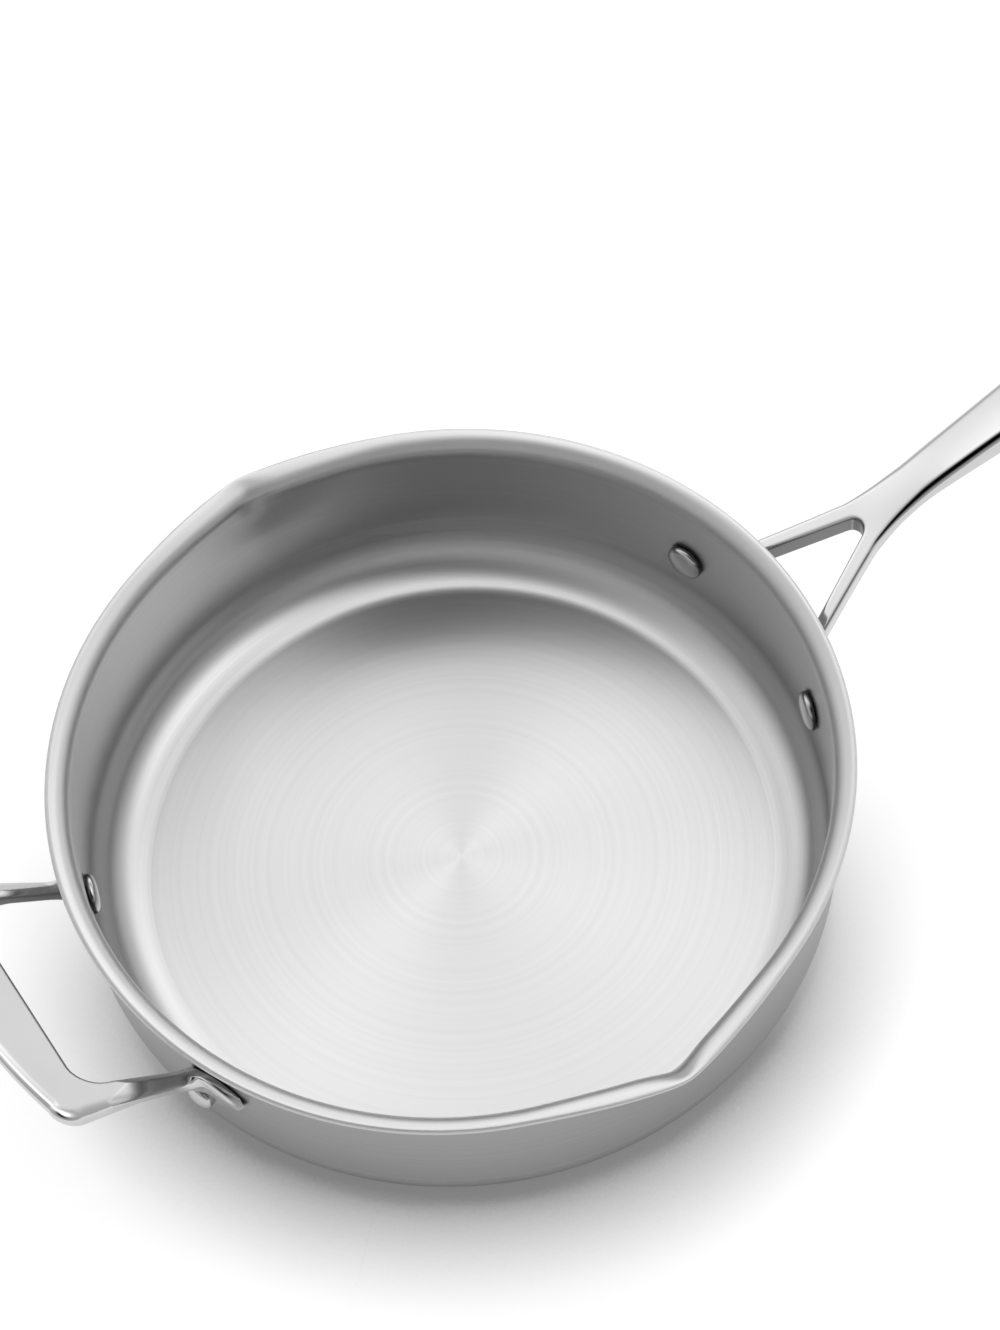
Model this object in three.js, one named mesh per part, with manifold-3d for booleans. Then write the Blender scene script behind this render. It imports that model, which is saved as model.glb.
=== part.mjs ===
// Saute pan: a clad body with two pouring spouts, a forked long handle and a helper handle,
// each handle held by two rivets. Millimetres, +Z up. The origin is the middle of the base, on its
// underside. +X runs along the long handle, and the spouts point along +Y and -Y.
import * as THREE from "three";
import { mergeVertices } from "three/addons/utils/BufferGeometryUtils.js";
import Module from "manifold-3d";

const wasm = await Module();
wasm.setup();

const degrees = THREE.MathUtils.degToRad;
const point = (x, y) => new THREE.Vector2(x, y);

// Clad sheet, from the cooking surface outwards
const LINING = 0.5;
const CORE = 1.5;
const SHELL = 0.5;
const BOND_GAP = 0.05;

// Body
const CAVITY_DIAMETER = 242;
const PAN_HEIGHT = 67.4;
const CORNER_RADIUS = 17.8;
const LIP_BEND = 6.6;
const LIP_ANGLE = degrees(80);
const LIP_STRAIGHT = 1.6;

// Spouts
const SPOUT_THROW = 5.4;
const SPOUT_DROP = 2.6;
const SPOUT_FOOT = 14;
const SPOUT_ROUND = 4;
const SPOUT_SWELL = 1.5;
const SPOUT_DIP = 4;

// Rivets
const RIVET_BELOW_RIM = 31.4;
const SHANK_DIAMETER = 6;
const HEAD_DIAMETER = 13.4;
const HEAD_HEIGHT = 3.2;
const TAIL_DIAMETER = 9.5;
const TAIL_HEIGHT = 2;
const SHANK_CLEARANCE = 0.3;
const SEAT_GAP = 0.3;

// Foot pads, shared by both handles
const PAD_THICKNESS = 3;
const PAD_BELOW_RIVET = 10;
const PAD_CORNER = 8;

// Long handle: reaches are measured from the outside of the wall along +X
const LONG_RIVET_OFFSET = 36.6;
const LONG_PAD_INNER = 19;
const LONG_PAD_OUTER = 49;
const LONG_PAD_ABOVE = 10.8;
const LEG_SPLAY = degrees(24.7);
const LEG_FOOT_HALF = 25.7;
const LEG_END = point(30, 12);
const LEG_DEPTH = 7.6;
const CROTCH_REACH = 36.7;
const CROTCH_RADIUS = 4.2;
const NECK = point(40, 8.95);
const WAIST = point(54, 7.9);
const WAIST_DEPTH = 7.2;
const GRIP_START = point(75, 8.3);
const GRIP = point(150, 11);
const GRIP_DEPTH = 12.5;
const HANDLE_REACH = 195;
const END_RADIUS = 9.5;
const END_DEPTH = 9;
const SLOT_LENGTH = 16;
const SLOT_WIDTH = 8;
const SLOT_FROM_END = 17;
const FORK_SLOPE = 0.44;
const GRIP_SLOPE = 0.28;
const END_SLOPE = 0.2;
const ELBOW_REACH = 57;
const ELBOW_HALF = 13;

// Helper handle: reaches are measured from the outside of the wall along -X
const HELPER_RIVET_OFFSET = 40.6;
const HELPER_PAD_INNER = 35;
const HELPER_PAD_OUTER = 57;
const HELPER_PAD_ABOVE = 15.8;
const HELPER_ROOT_ABOVE = 10.8;
const HELPER_LEG_OUTER = 41.8;
const HELPER_LEG_INNER = 37.2;
const HELPER_CORNER = point(41.4, 47.4);
const HELPER_CORNER_RADIUS = 7;
const HELPER_BAR_INNER = 29.2;
const HELPER_BAR_OUTER = 47.4;
const HELPER_GAP_RADIUS = 9;
const HELPER_SLOPE = 0.63;
const HELPER_NECK = point(9, 14.6);
const HELPER_NECK_BEND = 7;
const HELPER_DEPTH = 5.6;

// Facets
const ROUND_STEPS = 60;
const CORNER_STEPS = 4;
const WALL_STEPS = 3;
const LIP_STEPS = 3;
const CURVE_STEPS = 14;
const RIVET_STEPS = 16;
const DOME_STEPS = 5;
const WELD = 1e-4;

// Sizes that follow from the ones above
const wallThickness = LINING + CORE + SHELL + 2 * BOND_GAP;
const cavityRadius = CAVITY_DIAMETER / 2;
const wallRadius = cavityRadius + wallThickness;
const lipStart = PAN_HEIGHT - LIP_BEND * Math.sin(LIP_ANGLE) - LIP_STRAIGHT * Math.cos(LIP_ANGLE);
const cornerTop = wallThickness + CORNER_RADIUS;
const lowestRivet = cornerTop + HEAD_DIAMETER / 2 + SEAT_GAP;
const rivetHeight = Math.max(PAN_HEIGHT - RIVET_BELOW_RIM, lowestRivet);
const padRadius = wallRadius + SEAT_GAP;
const longPadTop = rivetHeight + LONG_PAD_ABOVE;
const helperPadTop = rivetHeight + HELPER_PAD_ABOVE;
const helperRoot = rivetHeight + HELPER_ROOT_ABOVE;
const padBottom = rivetHeight - PAD_BELOW_RIVET;
const seatRadius = padRadius + PAD_THICKNESS + SEAT_GAP;
const blankHeight = PAN_HEIGHT + HANDLE_REACH;

// A closed geometry as a solid: only its positions matter, and triangles on the axis are empty.
function solidOf(geometry) {
  const bare = new THREE.BufferGeometry();
  bare.setAttribute("position", geometry.getAttribute("position"));
  bare.setIndex(geometry.index);
  const merged = mergeVertices(bare, WELD);
  const corners = merged.index.array;
  const kept = [];
  for (let i = 0; i < corners.length; i += 3) {
    const [a, b, c] = corners.slice(i, i + 3);
    if (a !== b && b !== c && c !== a) kept.push(a, b, c);
  }
  return new wasm.Manifold(
    new wasm.Mesh({
      numProp: 3,
      vertProperties: merged.getAttribute("position").array,
      triVerts: new Uint32Array(kept),
    }),
  );
}

function geometryOf(solid) {
  const { vertProperties, triVerts } = solid.getMesh();
  const geometry = new THREE.BufferGeometry();
  geometry.setAttribute("position", new THREE.BufferAttribute(vertProperties, 3));
  geometry.setIndex(new THREE.BufferAttribute(triVerts, 1));
  geometry.computeVertexNormals();
  return geometry;
}

function meshOf(name, geometry, material) {
  const mesh = new THREE.Mesh(geometry, material);
  mesh.name = name;
  return mesh;
}

function metal(color, roughness) {
  return new THREE.MeshStandardMaterial({ color, roughness, metalness: 1 });
}

// Points along an arc of the section, both ends included.
function arc(centreX, centreY, radius, from, to, steps) {
  return Array.from({ length: steps + 1 }, (_, i) => {
    const angle = from + ((to - from) * i) / steps;
    return point(centreX + radius * Math.cos(angle), centreY + radius * Math.sin(angle));
  });
}

// The body's section at a depth below the cooking surface, from the axis out to the edge of the lip.
function sectionAt(depth) {
  const cornerCentre = cavityRadius - CORNER_RADIUS;
  const corner = arc(cornerCentre, cornerTop, CORNER_RADIUS + depth, -Math.PI / 2, 0, CORNER_STEPS);
  const wall = Array.from({ length: WALL_STEPS - 1 }, (_, i) =>
    point(cavityRadius + depth, THREE.MathUtils.lerp(cornerTop, lipStart, (i + 1) / WALL_STEPS)),
  );
  const lipEnd = Math.PI - LIP_ANGLE;
  const lip = arc(cavityRadius + LIP_BEND, lipStart, LIP_BEND - depth, Math.PI, lipEnd, LIP_STEPS);
  const last = lip.at(-1);
  const edge = point(
    last.x + LIP_STRAIGHT * Math.sin(LIP_ANGLE),
    last.y + LIP_STRAIGHT * Math.cos(LIP_ANGLE),
  );
  return [point(0, wallThickness - depth), ...corner, ...wall, ...lip, edge];
}

// Push the wall out and draw the lip down at both spouts, less and less towards the foot of the wall.
// The flanks run straight from the crease to where they touch the round wall.
function pressSpouts(geometry) {
  const places = geometry.getAttribute("position");
  for (let i = 0; i < places.count; i++) {
    const [x, y, z] = [places.getX(i), places.getY(i), places.getZ(i)];
    const radius = Math.hypot(x, y);
    if (radius === 0) continue;
    const climb = THREE.MathUtils.clamp((z - SPOUT_FOOT) / (PAN_HEIGHT - SPOUT_FOOT), 0, 1);
    const push = SPOUT_THROW * climb ** SPOUT_SWELL;
    const reach = Math.sqrt(2 * push * wallRadius) + SPOUT_ROUND;
    const along = Math.atan2(Math.abs(x), Math.abs(y)) * wallRadius;
    const apart = Math.hypot(along, SPOUT_ROUND) - SPOUT_ROUND;
    const across = Math.max(0, 1 - apart / reach) ** 2;
    const stretch = 1 + (push * across) / radius;
    places.setXYZ(i, x * stretch, y * stretch, z - SPOUT_DROP * across * climb ** SPOUT_DIP);
  }
}

// A ring of revolution about +Z from a section given as radius and height.
function turned(section, steps) {
  return new THREE.LatheGeometry(section, steps).rotateX(Math.PI / 2);
}

// A cylinder along +X, from one reach to another.
function pinAlongX(diameter, from, to, steps) {
  return new THREE.CylinderGeometry(diameter / 2, diameter / 2, to - from, steps)
    .rotateZ(-Math.PI / 2)
    .translate((from + to) / 2, 0, 0);
}

// The bearings of the four rivets about the pan's axis.
const longBearing = Math.asin(LONG_RIVET_OFFSET / wallRadius);
const helperBearing = Math.asin(HELPER_RIVET_OFFSET / wallRadius);
const rivetBearings = {
  long_handle_rivet_left: longBearing,
  long_handle_rivet_right: -longBearing,
  helper_handle_rivet_left: Math.PI - helperBearing,
  helper_handle_rivet_right: Math.PI + helperBearing,
};

// The four rivet holes as one tool that cuts the layers and the pads.
function rivetHoles() {
  const bore = SHANK_DIAMETER + 2 * SHANK_CLEARANCE;
  return Object.values(rivetBearings)
    .map((bearing) =>
      solidOf(
        pinAlongX(bore, cavityRadius - PAD_THICKNESS, seatRadius + PAD_THICKNESS, RIVET_STEPS)
          .rotateZ(bearing)
          .translate(0, 0, rivetHeight),
      ),
    )
    .reduce((all, hole) => all.add(hole));
}

const holes = rivetHoles();

// The space that the body fills down to a depth, closed level with the edge of a shallower section.
function cup(depth, edge) {
  const geometry = turned([...sectionAt(depth), edge, point(0, edge.y)], ROUND_STEPS);
  pressSpouts(geometry);
  return solidOf(geometry);
}

// One layer of the clad sheet between two depths below the cooking surface.
function layer(from, to) {
  const edge = sectionAt(from).at(-1);
  return geometryOf(cup(to, edge).subtract(cup(from, edge)).subtract(holes));
}

// An outline in X and Y raised into a prism from the ground up.
function upright(outline, height) {
  return solidOf(new THREE.ExtrudeGeometry(outline, { depth: height, bevelEnabled: false }));
}

// An outline in X and Z drawn out sideways, as wide as given and centred on the X axis.
function sideways(outline, width) {
  return solidOf(
    new THREE.ExtrudeGeometry(outline, { depth: width, bevelEnabled: false })
      .rotateX(Math.PI / 2)
      .translate(0, width / 2, 0),
  );
}

// The space that the wall takes up, with the gap that a seated handle keeps to it.
function wallSpace() {
  const section = [point(0, 0), point(padRadius, 0), point(padRadius, lipStart), point(0, lipStart)];
  return solidOf(turned(section, ROUND_STEPS));
}

// A foot pad: a plate bent round the wall, between two distances from the X axis and up to a height,
// on the +X side.
function footPad(inner, outer, high) {
  const [start, end] = [Math.asin(inner / wallRadius), Math.asin(outer / wallRadius)];
  const plan = new THREE.Shape([
    ...arc(0, 0, padRadius + PAD_THICKNESS, start, end, CURVE_STEPS),
    ...arc(0, 0, padRadius - PAD_THICKNESS, end, start, CURVE_STEPS),
  ]);
  const rounded = new THREE.Shape();
  const [left, right, low] = [inner, outer, padBottom];
  const turn = PAD_CORNER;
  rounded.absarc(right - turn, low + turn, turn, -Math.PI / 2, 0);
  rounded.absarc(right - turn, high - turn, turn, 0, Math.PI / 2);
  rounded.absarc(left + turn, high - turn, turn, Math.PI / 2, Math.PI);
  rounded.absarc(left + turn, low + turn, turn, Math.PI, 1.5 * Math.PI);
  const face = new THREE.ExtrudeGeometry(rounded, {
    depth: 2 * wallRadius,
    bevelEnabled: false,
    curveSegments: DOME_STEPS,
  });
  face.rotateX(Math.PI / 2).rotateZ(Math.PI / 2);
  return upright(plan, PAN_HEIGHT).intersect(solidOf(face));
}

// The pad and its mirror image across the handle's middle plane.
function padPair(inner, outer, high) {
  const pad = footPad(inner, outer, high);
  return pad.add(pad.mirror([0, 1, 0]));
}

const mirrored = (points) => points.map((p) => point(p.x, -p.y)).reverse();
const curve = (points) => new THREE.SplineCurve(points).getPoints(CURVE_STEPS);

// The long handle from above: two splayed legs that join at the crotch and run into the grip.
function longHandlePlan() {
  const root = -PAD_THICKNESS;
  const flank = curve([
    point(root, LEG_FOOT_HALF),
    LEG_END,
    NECK,
    WAIST,
    GRIP_START,
    GRIP,
    point(HANDLE_REACH - END_RADIUS, END_RADIUS),
  ]);
  const end = arc(HANDLE_REACH - END_RADIUS, 0, END_RADIUS, Math.PI / 2, -Math.PI / 2, CURVE_STEPS);
  const crotchCentre = CROTCH_REACH - CROTCH_RADIUS;
  const touch = Math.PI / 2 - LEG_SPLAY;
  const crotch = arc(crotchCentre, 0, CROTCH_RADIUS, -touch, touch, DOME_STEPS);
  const tangent = crotch.at(-1);
  const foot = point(root, tangent.y + (tangent.x - root) * Math.tan(LEG_SPLAY));
  const outline = [
    ...flank,
    ...end.slice(1, -1),
    ...mirrored(flank),
    point(foot.x, -foot.y),
    ...crotch,
    foot,
  ];
  const plan = new THREE.Shape(outline);
  const slotCentre = HANDLE_REACH - SLOT_FROM_END;
  const straight = (SLOT_LENGTH - SLOT_WIDTH) / 2;
  const slot = [
    ...arc(slotCentre + straight, 0, SLOT_WIDTH / 2, -Math.PI / 2, Math.PI / 2, DOME_STEPS),
    ...arc(slotCentre - straight, 0, SLOT_WIDTH / 2, Math.PI / 2, 1.5 * Math.PI, DOME_STEPS),
  ];
  plan.holes.push(new THREE.Path(slot));
  return plan;
}

// The top line of the long handle: up the fork, over the elbow, and easing off along the grip.
function longHandleTop() {
  const root = point(-PAD_THICKNESS, longPadTop);
  const elbow = point(ELBOW_REACH, root.y + (ELBOW_REACH - root.x) * FORK_SLOPE);
  const gripStart = point(elbow.x + ELBOW_HALF, elbow.y + ELBOW_HALF * GRIP_SLOPE);
  const gripHalf = (HANDLE_REACH - gripStart.x) / 2;
  const gripMiddle = point(gripStart.x + gripHalf, gripStart.y + gripHalf * GRIP_SLOPE);
  const bend = new THREE.QuadraticBezierCurve(
    point(elbow.x - ELBOW_HALF, elbow.y - ELBOW_HALF * FORK_SLOPE),
    elbow,
    gripStart,
  );
  const grip = new THREE.QuadraticBezierCurve(
    gripStart,
    gripMiddle,
    point(HANDLE_REACH, gripMiddle.y + gripHalf * END_SLOPE),
  );
  return [root, ...bend.getPoints(DOME_STEPS), ...grip.getPoints(CURVE_STEPS).slice(1)];
}

// The long handle from the side, as deep under its top line as each of its stretches is.
function longHandleSide() {
  const top = longHandleTop();
  const below = (reach, depth) => {
    const after = Math.max(1, top.findIndex((p) => p.x >= reach));
    const [a, b] = [top[after - 1], top[after]];
    return point(reach, THREE.MathUtils.mapLinear(reach, a.x, b.x, a.y, b.y) - depth);
  };
  const under = curve([
    below(HANDLE_REACH, END_DEPTH),
    below(GRIP.x, GRIP_DEPTH),
    below((WAIST.x + GRIP.x) / 2, GRIP_DEPTH),
    below(WAIST.x, WAIST_DEPTH),
    below(CROTCH_REACH, LEG_DEPTH),
    below(-PAD_THICKNESS, LEG_DEPTH),
  ]);
  return new THREE.Shape([...top, ...under]);
}

// A handle: its plan cut by its side view, joined to its pads, cleared of the wall and drilled.
function handle(plan, side, pads) {
  const blank = upright(plan, blankHeight).intersect(sideways(side, CAVITY_DIAMETER));
  return blank.translate([wallRadius, 0, 0]).add(pads).subtract(wallSpace());
}

function longHandle() {
  const pads = padPair(LONG_PAD_INNER, LONG_PAD_OUTER, longPadTop);
  const body = handle(longHandlePlan(), longHandleSide(), pads);
  return geometryOf(body.subtract(holes));
}

// The helper handle from above: two legs and a bowed bar round the finger gap.
function helperPlan() {
  const root = -2 * PAD_THICKNESS;
  const turn = HELPER_CORNER_RADIUS;
  const cornerCentre = point(HELPER_CORNER.x - turn, HELPER_CORNER.y - turn);
  const corner = arc(cornerCentre.x, cornerCentre.y, turn, Math.PI / 2, 0, DOME_STEPS);
  const outside = [point(root, HELPER_LEG_OUTER), ...corner];
  const bow = new THREE.QuadraticBezierCurve(
    corner.at(-1),
    point(2 * HELPER_BAR_OUTER - HELPER_CORNER.x, 0),
    point(HELPER_CORNER.x, -cornerCentre.y),
  );
  const gapCentre = point(HELPER_BAR_INNER - HELPER_GAP_RADIUS, HELPER_LEG_INNER - HELPER_GAP_RADIUS);
  const gap = arc(gapCentre.x, gapCentre.y, HELPER_GAP_RADIUS, 0, Math.PI / 2, DOME_STEPS);
  const inside = [...gap, point(root, HELPER_LEG_INNER)];
  return new THREE.Shape([
    ...outside,
    ...bow.getPoints(CURVE_STEPS).slice(1, -1),
    ...mirrored(outside),
    ...mirrored(inside),
    ...inside,
  ]);
}

// The helper handle from the side: the legs rise from the pads in a neck, then climb straight.
function helperSide() {
  const root = point(-2 * PAD_THICKNESS, helperRoot);
  const neck = point(HELPER_NECK.x, helperRoot + HELPER_NECK.y);
  const bend = point(neck.x - HELPER_NECK_BEND, neck.y - HELPER_NECK_BEND * HELPER_SLOPE);
  const past = HELPER_BAR_OUTER + HELPER_DEPTH;
  const tip = point(past, neck.y + (past - neck.x) * HELPER_SLOPE);
  const over = new THREE.QuadraticBezierCurve(root, bend, neck).getPoints(DOME_STEPS);
  const top = [...over, tip];
  const under = top.map((p) => point(p.x, p.y - HELPER_DEPTH)).reverse();
  return new THREE.Shape([...top, ...under]);
}

function helperHandle() {
  const pads = padPair(HELPER_PAD_INNER, HELPER_PAD_OUTER, helperPadTop);
  const body = handle(helperPlan(), helperSide(), pads);
  return geometryOf(body.rotate([0, 0, 180]).subtract(holes));
}

// A rivet along +X: domed head inside the pan, shank, and upset tail outside the pad.
function rivet() {
  const [head, tail, shank] = [HEAD_DIAMETER / 2, TAIL_DIAMETER / 2, SHANK_DIAMETER / 2];
  const headSeat = Math.sqrt(cavityRadius ** 2 - head ** 2) - SEAT_GAP;
  const dome = (radius, height, seat, way) =>
    Array.from({ length: DOME_STEPS + 1 }, (_, i) => {
      const turn = ((i / DOME_STEPS) * Math.PI) / 2;
      return point(radius * Math.sin(turn), seat + way * height * Math.cos(turn));
    });
  const section = [
    ...dome(head, HEAD_HEIGHT, headSeat, -1),
    point(shank, headSeat),
    point(shank, seatRadius),
    ...dome(tail, TAIL_HEIGHT, seatRadius, 1).reverse(),
  ];
  return geometryOf(solidOf(new THREE.LatheGeometry(section, RIVET_STEPS).rotateZ(-Math.PI / 2)));
}

const pan = new THREE.Group();
const coreStart = LINING + BOND_GAP;
const shellStart = coreStart + CORE + BOND_GAP;
pan.add(meshOf("inner_lining", layer(0, LINING), metal(0xd6d6d4, 0.3)));
pan.add(meshOf("aluminium_core", layer(coreStart, coreStart + CORE), metal(0xc9cbcc, 0.5)));
pan.add(meshOf("outer_shell", layer(shellStart, wallThickness), metal(0xb9b9b8, 0.35)));
pan.add(meshOf("long_handle", longHandle(), metal(0xdcdcdc, 0.15)));
pan.add(meshOf("helper_handle", helperHandle(), metal(0xdcdcdc, 0.15)));

const rivetGeometry = rivet();
for (const [name, bearing] of Object.entries(rivetBearings)) {
  const place = new THREE.Group();
  place.rotation.z = bearing;
  place.position.z = rivetHeight;
  place.add(meshOf(name, rivetGeometry, metal(0xcfcfcf, 0.12)));
  pan.add(place);
}

export default pan;
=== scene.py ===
import math

import bpy
import numpy as np
from mathutils import Matrix, Vector


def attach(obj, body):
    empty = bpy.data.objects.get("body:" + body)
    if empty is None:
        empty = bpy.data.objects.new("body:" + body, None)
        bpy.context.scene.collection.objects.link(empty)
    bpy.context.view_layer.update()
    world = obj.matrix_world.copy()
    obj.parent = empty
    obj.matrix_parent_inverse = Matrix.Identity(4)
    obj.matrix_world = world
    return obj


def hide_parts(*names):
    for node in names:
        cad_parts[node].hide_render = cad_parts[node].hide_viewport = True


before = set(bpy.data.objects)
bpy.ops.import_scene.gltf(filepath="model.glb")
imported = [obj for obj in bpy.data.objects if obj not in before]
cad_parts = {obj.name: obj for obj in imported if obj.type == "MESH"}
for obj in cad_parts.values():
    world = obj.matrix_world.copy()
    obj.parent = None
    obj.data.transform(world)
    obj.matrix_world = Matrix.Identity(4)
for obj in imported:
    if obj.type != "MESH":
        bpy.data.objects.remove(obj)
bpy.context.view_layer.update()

# Sizes in millimetres, as in the CAD part, and turned into metres when a mesh is made
MM = 0.001

# Clad sheet: depths below the cooking surface where each layer starts and ends
LINING = (0.0, 0.5)
CORE = (0.55, 2.05)
SHELL = (2.1, 2.6)
SHEET = SHELL[1]

# Body
CAVITY_RADIUS = 121.0
WALL_RADIUS = CAVITY_RADIUS + SHEET
PAN_HEIGHT = 67.4
CORNER_RADIUS = 17.8
CORNER_TOP = SHEET + CORNER_RADIUS
LIP_BEND = 6.6
LIP_ANGLE = math.radians(80)
LIP_STRAIGHT = 1.6
LIP_START = PAN_HEIGHT - LIP_BEND * math.sin(LIP_ANGLE) - LIP_STRAIGHT * math.cos(LIP_ANGLE)
LIP_REACH = CAVITY_RADIUS + LIP_BEND * (1 - math.cos(LIP_ANGLE)) + LIP_STRAIGHT * math.sin(LIP_ANGLE)
EDGE_ROUND = SHEET / 2

# Spouts: how far they throw the wall out, draw the lip down and reach; swell and dip are powers
SPOUT_THROW = 4.85
SPOUT_DROP = 2.6
SPOUT_FOOT = 14.0
SPOUT_ROUND_INSIDE = 5.0
SPOUT_ROUND_EDGE = 9.0
SPOUT_SWELL = 1.5
SPOUT_DIP = 4
CONE_SHARE = 0.7
CONE_FOOT = 45.0
CHANNEL_THROW = 2.6
CHANNEL_ON_EDGE = 0.2
CHANNEL_HALF = 11.0
CHANNEL_ROUND = 2.5
CHANNEL_DEPTH = 14.0

# Rivets
RIVET_HEIGHT = 36.0
HEAD_RADIUS = 6.7
HEAD_HEIGHT = 3.2
HEAD_EDGE = 0.7
HEAD_FULLNESS = 2.5
TAIL_RADIUS = 4.75
TAIL_HEIGHT = 2.0
SHANK_RADIUS = 3.0
SEAT_GAP = 0.3
LONG_RIVET_OFF = 36.6
HELPER_RIVET_OFF = 40.6
LONG_BEARING = math.asin(LONG_RIVET_OFF / WALL_RADIUS)
HELPER_BEARING = math.asin(HELPER_RIVET_OFF / WALL_RADIUS)

# Foot pads: a strip along the top, and below a step a thin tongue
PAD_RADIUS = WALL_RADIUS + SEAT_GAP
PAD_THICKNESS = 3.0
PAD_BOTTOM = 26.0
PAD_EDGE = 1.0
PAD_FILLET = 7.0
PAD_THIN = 1.4
PAD_STRIP = 5.0
PAD_STEP = 2.0
TAIL_SEAT = PAD_RADIUS + PAD_THICKNESS + SEAT_GAP

# Long handle: reaches are measured from the outside of the wall
LONG_PADS = {
    "inner": 19.0,
    "outer": 49.0,
    "high": 46.8,
    "slope": 0.0,
    "inner_taper": 0.55,
    "outer_taper": 0.25,
    "corner": 8.0,
}
LEG_SPLAY = math.radians(24.7)
LEG_FOOT_HALF = 25.7
LEG_END = (30.0, 12.0)
LEG_DEPTH = 7.6
CROTCH_REACH = 36.7
CROTCH_RADIUS = 4.2
NECK = (40.0, 8.95)
WAIST = (54.0, 7.9)
WAIST_DEPTH = 7.2
GRIP_START = (75.0, 8.3)
GRIP = (150.0, 11.0)
GRIP_DEPTH = 12.5
HANDLE_REACH = 195.0
END_RADIUS = 9.5
END_DEPTH = 9.0
SLOT_LENGTH = 16.0
SLOT_RADIUS = 4.0
SLOT_FROM_END = 17.0
FORK_SLOPE = 0.44
GRIP_SLOPE = 0.28
END_SLOPE = 0.2
ELBOW_REACH = 57.0
ELBOW_HALF = 13.0
LEG_EDGE = 1.2
FORK_EDGE = 0.7
SLOT_EDGE = 1.0
GRIP_EDGE = 3.3
GRIP_CROWN = 0.9

# Helper handle
HELPER_PADS = {
    "inner": 40.0,
    "outer": 57.0,
    "high": 53.5,
    "slope": 0.36,
    "inner_taper": -0.42,
    "outer_taper": 0.85,
    "corner": 8.0,
}
HELPER_ROOT = 46.8
HELPER_LEG_OUTER = 41.8
HELPER_LEG_INNER = 37.2
HELPER_CORNER = (41.4, 47.4)
HELPER_CORNER_RADIUS = 7.0
HELPER_BAR_INNER = 29.2
HELPER_BAR_OUTER = 47.4
HELPER_GAP_RADIUS = 9.0
HELPER_SLOPE = 0.63
HELPER_NECK = (9.0, 14.6)
HELPER_DEPTH = 5.6
HELPER_BEVEL = 1.5
BEVEL_FADE = (10.0, 32.0)
HELPER_BEVEL_EDGE = 1.2
HELPER_EDGE = 0.8
RIDGE_TIP = 16.0
RIDGE_FALL = 0.25
RIDGE_SPREAD = 0.45

# Fineness of the meshes
ROUND_STEPS = 288
SPOUT_CROWDING = 0.6
FLOOR_POINTS = 8
CORNER_STEPS = 20
WALL_POINTS = 16
LIP_STEPS = 16
EDGE_POINTS = 9
RIVET_STEPS = 64
DOME_POINTS = 17
FLANK_STEPS = 16
END_STEPS = 40
BEND_STEPS = 24
ELBOW_STEPS = 12
DEPTH_STEPS = 12
LOOP_CORNER_STEPS = 16
BOW_STEPS = 60
GRID_STEP = 0.5
GRID_MARGIN = 3.0
GRID_END_MARGIN = 2.0
SETTLE_ROUNDS = 3
SETTLE_LIMIT = 0.4
TINY = 1e-9

# Camera: its place in the part's frame in metres, and how it is turned
CAMERA_PLACE = (-0.23838, -0.49114, 0.98986)
CAMERA_ELEVATION = math.radians(57.938)
CAMERA_TURN = math.radians(-27.9)
CAMERA_ROLL = math.radians(-5.897)
CAMERA_LENS = 92.03
CAMERA_SENSOR = 36

# Studio: a plain level all round, then lights as elevation, azimuth, tightness and strength
STUDIO_LEVEL = 0.62
STUDIO_LIGHTS = {
    "dark_side": (57, -76, 8.9, -1.75),
    "overhead": (79, 54, 20.0, 1.62),
    "far_right": (35, 50, 20.0, 2.1),
    "far": (43, 118, 12.5, 1.05),
    "right": (54, -53, 15.6, 3.0),
    "low_right": (-4, 12, 20.0, 2.4),
    "high_right": (58, -22, 25.0, 1.2),
}

# Finish of the sheet, brushed in rings and duller on its lip, where a painted highlight also makes it
# lighter; noises as scale and detail
COOKING_STEEL = {
    "dark": (0.52, 0.52, 0.52),
    "light": (0.58, 0.58, 0.58),
    "roughness": 0.36,
    "spread": 0.05,
    "anisotropy": 0.8,
}
# Painted shade: the outer steel's colours are set darker than the lining's to darken the outside wall
OUTER_STEEL = {
    "dark": (0.33, 0.33, 0.33),
    "light": (0.39, 0.39, 0.39),
    "roughness": 0.4,
    "spread": 0.04,
    "anisotropy": 0.5,
}
ROLLED_ALUMINIUM = {
    "dark": (0.48, 0.48, 0.485),
    "light": (0.52, 0.52, 0.525),
    "roughness": 0.42,
    "spread": 0.04,
    "anisotropy": 0.3,
}
FINE_RINGS = (1500, 3)
BROAD_RINGS = (500, 5)
RING_BUMP = 0.025
BUMP_DISTANCE = 0.00005
LIP_FULL = LIP_START + 3.5
LIP_DULLNESS = 0.2
# Painted highlight: how much lighter the lip's colour is made
LIP_PAINTED_HIGHLIGHT = 1.25

# Finish of the handles and rivets, polished, duller on some parts of the handles, and darkened on some parts
# by painted shade
HANDLE_STEEL = {
    "dark": (0.54, 0.54, 0.54),
    "light": (0.58, 0.58, 0.58),
    "roughness": 0.1,
    "spread": 0.03,
}
RIVET_STEEL = {
    "dark": (0.48, 0.48, 0.48),
    "light": (0.52, 0.52, 0.52),
    "roughness": 0.06,
    "spread": 0.02,
}
CLOUDS = (55, 4)
CLOUD_RANGE = (0.3, 0.7)
GRAIN = (900, 2)
GRAIN_BUMP = 0.02
# Painted shade on the handle sides that face inward
INNER_PAINTED_SHADE = 0.4
CAST_DULLNESS = 0.3
CAST_FACING = (-0.8, -0.55)
# Painted shade low on the foot pads
PAD_PAINTED_SHADE = 0.66
PAD_PART_RADIUS = (127.6, 129.0)
PAD_PART_HEIGHT = (45.0, 47.0)
# Painted shade round the rims of the rivet heads, where they meet the wall
RIM_PAINTED_SHADE = 0.15
RIM_MIDDLE = 121.5
RIM_REACH = (1.6, 2.6)

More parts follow.
